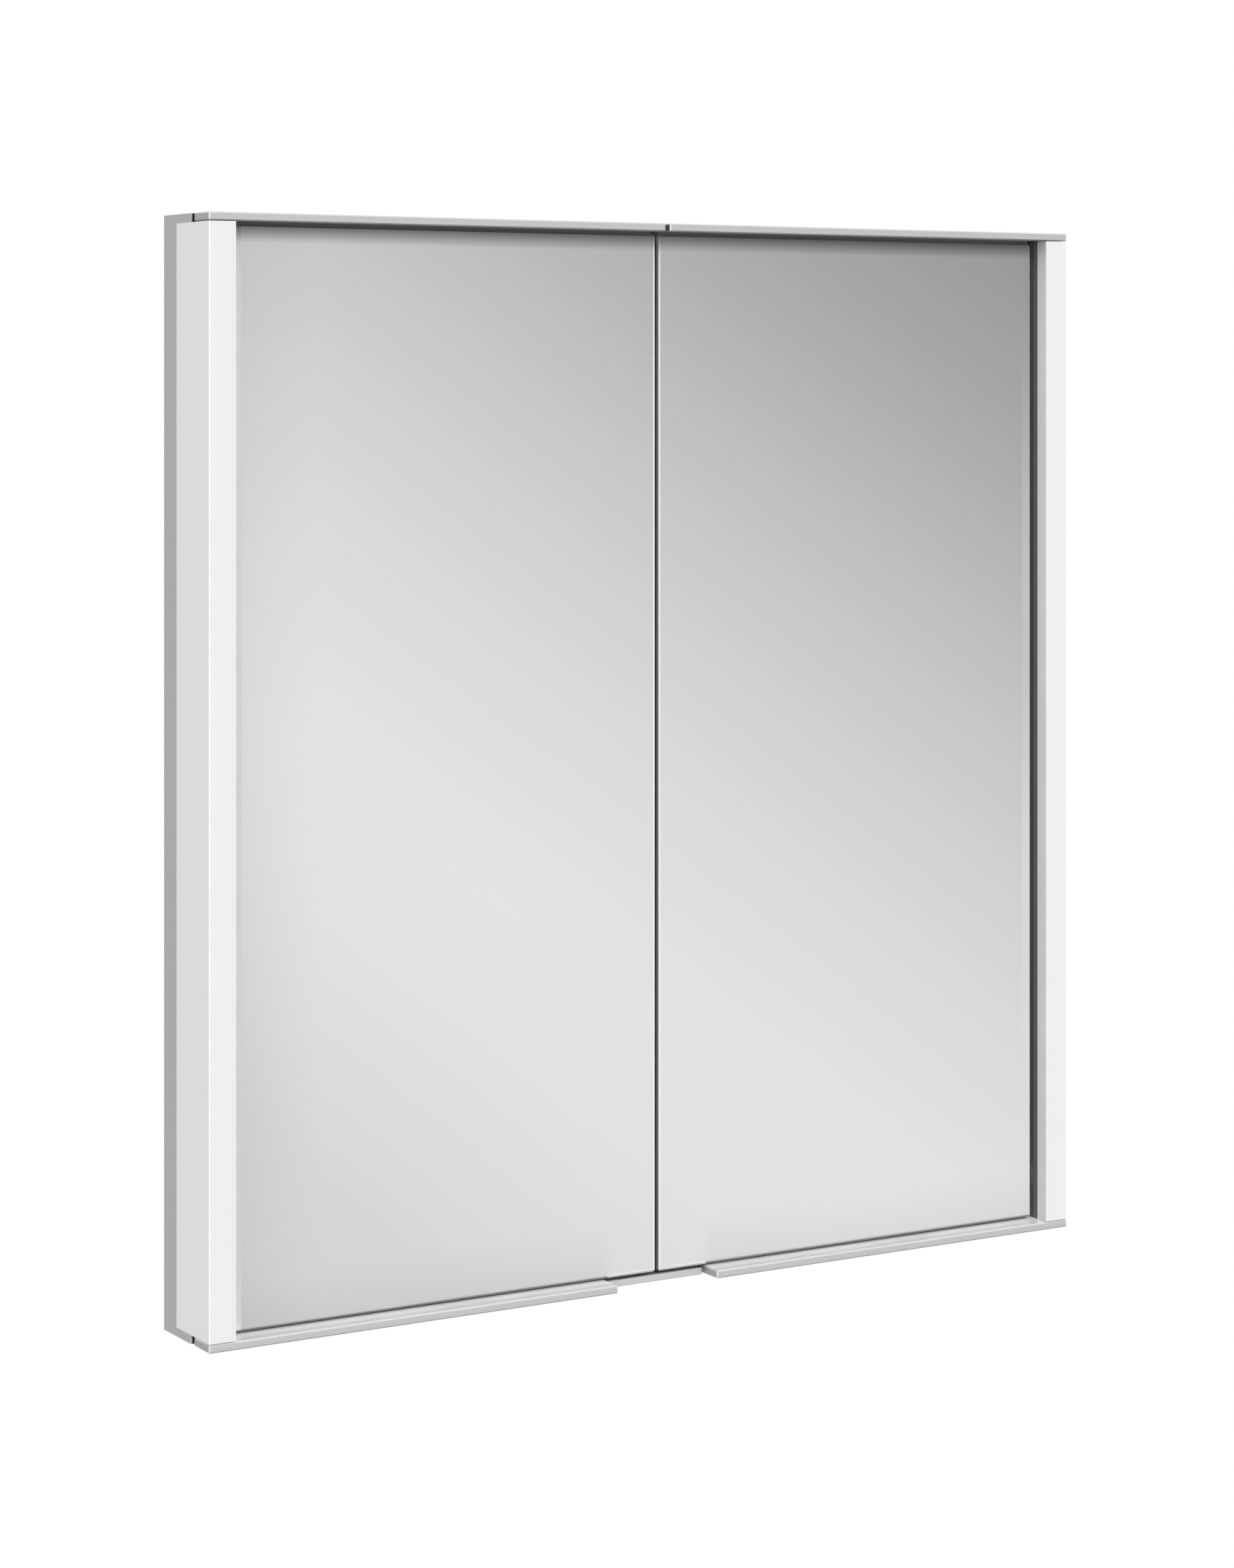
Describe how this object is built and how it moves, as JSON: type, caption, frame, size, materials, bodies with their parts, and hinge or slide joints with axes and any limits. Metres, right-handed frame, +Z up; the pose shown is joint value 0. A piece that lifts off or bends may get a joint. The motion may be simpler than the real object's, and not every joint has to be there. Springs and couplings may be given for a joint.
{
  "type": "recessed medicine cabinet with mirror",
  "caption": "Recessed bathroom cabinet: mirrored hinged doors between lit opal columns, glass shelves, socket and light switch inside.",
  "frame": {"origin": "centre of the wall opening, in the plane of the finished wall (the rear face of the front frame)", "axes": "+X across the cabinet towards the right-hand door, +Y into the wall, +Z up; the doors face -Y"},
  "size_m": [0.66, 0.16, 0.7],
  "materials": {
    "frame": "satin, anodised silver",
    "door_profile": "satin, anodised silver, bright broken edges",
    "strip_metal": "satin, anodised silver",
    "polished_channel": "mirror polished",
    "opal": "opal, semi-gloss",
    "light_board": "white circuit board with lights",
    "mirror": "silvered glass, ground edges",
    "core_black": "matt black board",
    "carcass_sheet": "satin, anodised silver sheet",
    "housing_paint": "fine white powder coat",
    "shelf_glass": "clear, polished edges",
    "steel": "stainless steel",
    "white_plastic": "moulded, semi-gloss",
    "dark_plastic": "moulded, matt",
    "bush_plastic": "natural, matt"
  },
  "bodies": {
    "cabinet": {"side_cheek_left": "frame", "side_cheek_right": "frame", "top_rail": "frame", "bottom_rail": "frame", "notch_strip": "strip_metal", "upright_left": "frame", "upright_right": "frame", "opal_cover_left": "opal", "opal_cover_right": "opal", "light_channel_left": "polished_channel", "light_channel_right": "polished_channel", "light_strip_left": "light_board", "light_strip_right": "light_board", "column_plugs_left": "dark_plastic", "column_plugs_right": "dark_plastic", "pivot_pins_left": "steel", "pivot_pins_right": "steel", "thrust_washers": "bush_plastic", "side_panel_left": "carcass_sheet", "side_panel_right": "carcass_sheet", "top_panel": "carcass_sheet", "bottom_panel": "carcass_sheet", "back_panel": "carcass_sheet", "back_mirror": "mirror", "lower_shelf": "shelf_glass", "upper_shelf": "shelf_glass", "shelf_clips_left": "steel", "shelf_clips_right": "steel", "electrics_housing": "housing_paint", "light_driver": "white_plastic", "terminal_block": "bush_plastic", "socket_insert": "white_plastic", "switch_bezel": "white_plastic", "cable_gland": "dark_plastic", "magnet_catches": "dark_plastic", "frame_screws": "steel", "column_screws": "steel", "rivets": "frame", "housing_screws": "steel"},
    "left_door": {"left_top_profile": "door_profile", "left_bottom_profile": "door_profile", "left_front_mirror": "mirror", "left_core": "core_black", "left_rear_mirror": "mirror", "left_edge_plates": "steel", "left_bushes": "bush_plastic", "left_door_screws": "steel", "left_strike_plate": "steel"},
    "right_door": {"right_top_profile": "door_profile", "right_bottom_profile": "door_profile", "right_front_mirror": "mirror", "right_core": "core_black", "right_rear_mirror": "mirror", "right_edge_plates": "steel", "right_bushes": "bush_plastic", "right_door_screws": "steel", "right_strike_plate": "steel"},
    "switch": {"switch_rocker": "white_plastic"}
  },
  "joints": [
    {"name": "left_door_hinge", "type": "hinge", "parent": "cabinet", "child": "left_door", "pos_m": [-0.324, -0.0585, 0], "axis": [0, 0, -1], "range_deg": [0, 105]},
    {"name": "right_door_hinge", "type": "hinge", "parent": "cabinet", "child": "right_door", "pos_m": [0.324, -0.0585, 0], "axis": [0, 0, 1], "range_deg": [0, 105]},
    {"name": "switch_rock", "type": "hinge", "parent": "cabinet", "child": "switch", "pos_m": [0.18, 0.045, 0.3214], "axis": [-1, 0, 0], "range_deg": [0, 14]}
  ]
}
